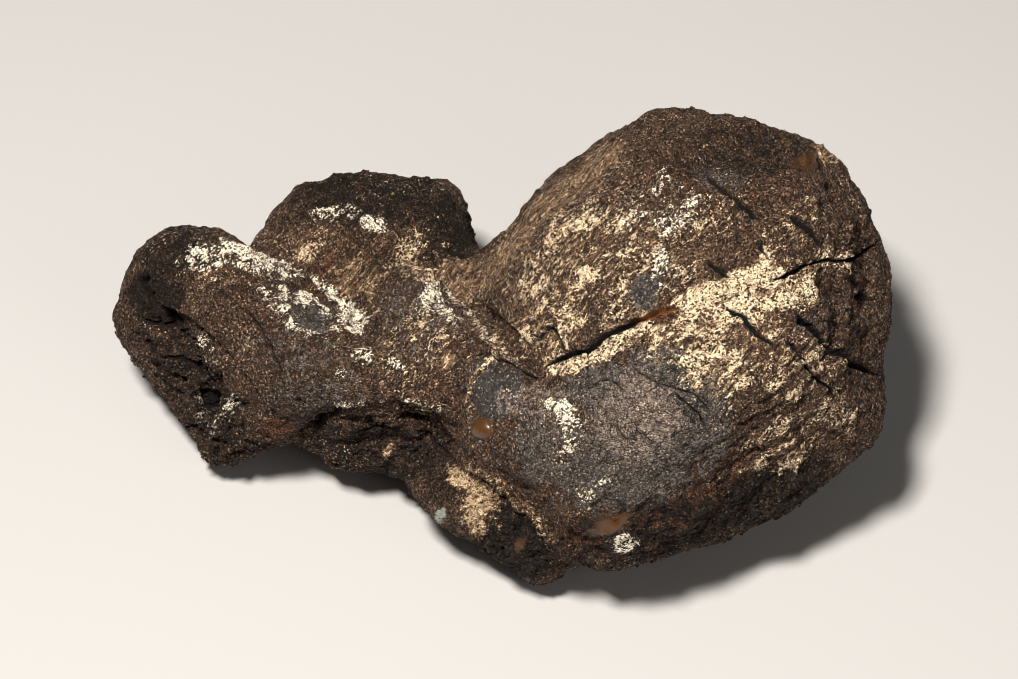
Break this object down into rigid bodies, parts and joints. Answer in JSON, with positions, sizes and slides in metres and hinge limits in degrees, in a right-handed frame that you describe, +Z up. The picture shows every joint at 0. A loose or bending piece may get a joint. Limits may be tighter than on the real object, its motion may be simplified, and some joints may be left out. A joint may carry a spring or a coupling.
{
  "type": "lithiophilite specimen",
  "caption": "Loose weathered mineral nodule: a big rounded head, a waist and two smaller knuckles, cracked brown-black skin with cream crusts, lying on a flat broken underside.",
  "frame": {"origin": "under the middle of the specimen's box, on the surface it lies on", "axes": "+X along the length from the arm to the head, +Y to the back, +Z up; the display face leans back and looks towards -Y and up"},
  "size_m": [0.159, 0.1018, 0.076],
  "materials": {
    "stone_skin": "weathered rough brown-black manganese-stained crust with cream and grey patches"
  },
  "bodies": {
    "root": {"nodule": "stone_skin"}
  },
  "joints": []
}
